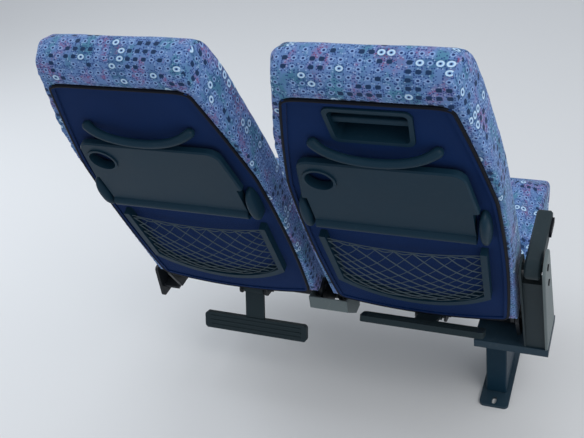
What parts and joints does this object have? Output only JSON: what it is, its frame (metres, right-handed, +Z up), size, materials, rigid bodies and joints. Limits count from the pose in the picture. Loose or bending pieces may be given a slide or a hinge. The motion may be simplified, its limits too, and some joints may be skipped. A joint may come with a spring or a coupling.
{
  "type": "coach double passenger seat",
  "caption": "Pair of coach passenger seats on one frame, with reclining backs, folding trays, net pockets, swinging footrests and a lifting aisle armrest.",
  "frame": {"origin": "centre of the aisle leg's foot, on the floor", "axes": "+X towards the aisle, +Y the way the passengers face, +Z up"},
  "size_m": [0.9941, 0.7848, 1.1389],
  "materials": {
    "moquette": "patterned pile cloth",
    "navy_cloth": "plain woven cloth",
    "grey_plastic": "fine grain",
    "light_plastic": "fine grain",
    "dark_plastic": "coarse grain",
    "black_plastic": "satin",
    "cord": "braided elastic cord",
    "frame_paint": "powder coat",
    "leg_paint": "powder coat"
  },
  "bodies": {
    "frame": {"front_tube": "frame_paint", "rear_tube": "frame_paint", "leg_head": "leg_paint", "leg_column": "leg_paint", "wall_bracket": "frame_paint", "window_side_bracket": "frame_paint", "aisle_side_bracket": "frame_paint", "centre_bracket": "frame_paint", "leg_cover": "grey_plastic", "armrest_stand": "dark_plastic", "aisle_side_cover": "light_plastic", "centre_cover": "light_plastic", "cover_cap_upper": "black_plastic", "cover_cap_lower": "black_plastic", "window_seat_pan": "frame_paint", "window_cushion": "moquette", "window_footrest_bracket": "frame_paint", "aisle_seat_pan": "frame_paint", "aisle_cushion": "moquette", "aisle_footrest_bracket": "frame_paint"},
    "window_back": {"window_back_pad": "moquette", "window_rear_panel": "navy_cloth", "window_back_carrier": "frame_paint", "window_grab_handle": "grey_plastic", "window_net_frame": "grey_plastic", "window_pocket_net": "cord", "window_tray_ear_left": "grey_plastic", "window_tray_ear_right": "grey_plastic"},
    "window_tray_body": {"window_tray": "grey_plastic"},
    "window_footrest_body": {"window_footrest": "dark_plastic"},
    "aisle_back": {"aisle_back_pad": "moquette", "aisle_rear_panel": "navy_cloth", "aisle_back_carrier": "frame_paint", "aisle_grab_handle": "grey_plastic", "aisle_net_frame": "grey_plastic", "aisle_pocket_net": "cord", "aisle_tray_ear_left": "grey_plastic", "aisle_tray_ear_right": "grey_plastic", "aisle_head_grip": "grey_plastic"},
    "aisle_tray_body": {"aisle_tray": "grey_plastic"},
    "aisle_footrest_body": {"aisle_footrest": "dark_plastic"},
    "armrest_body": {"armrest": "dark_plastic", "recline_paddle": "black_plastic"}
  },
  "joints": [
    {"name": "window_back_recline", "type": "hinge", "parent": "frame", "child": "window_back", "pos_m": [-0.595, -0.164, 0.372], "axis": [1, 0, 0], "range_deg": [0, 16]},
    {"name": "window_tray_fold", "type": "hinge", "parent": "window_back", "child": "window_tray_body", "pos_m": [-0.595, -0.3661, 0.72469], "axis": [1, 0, 0], "range_deg": [0, 68]},
    {"name": "window_footrest_swing", "type": "hinge", "parent": "frame", "child": "window_footrest_body", "pos_m": [-0.595, -0.132, 0.306], "axis": [1, 0, 0], "range_deg": [-98.5, 0]},
    {"name": "aisle_back_recline", "type": "hinge", "parent": "frame", "child": "aisle_back", "pos_m": [-0.14, -0.164, 0.372], "axis": [1, 0, 0], "range_deg": [0, 16]},
    {"name": "aisle_tray_fold", "type": "hinge", "parent": "aisle_back", "child": "aisle_tray_body", "pos_m": [-0.14, -0.3661, 0.72469], "axis": [1, 0, 0], "range_deg": [0, 68]},
    {"name": "aisle_footrest_swing", "type": "hinge", "parent": "frame", "child": "aisle_footrest_body", "pos_m": [-0.14, -0.132, 0.306], "axis": [1, 0, 0], "range_deg": [0, 98.5]},
    {"name": "armrest_lift", "type": "hinge", "parent": "frame", "child": "armrest_body", "pos_m": [0.1053, -0.272, 0.596], "axis": [1, 0, 0], "range_deg": [0, 100]}
  ]
}
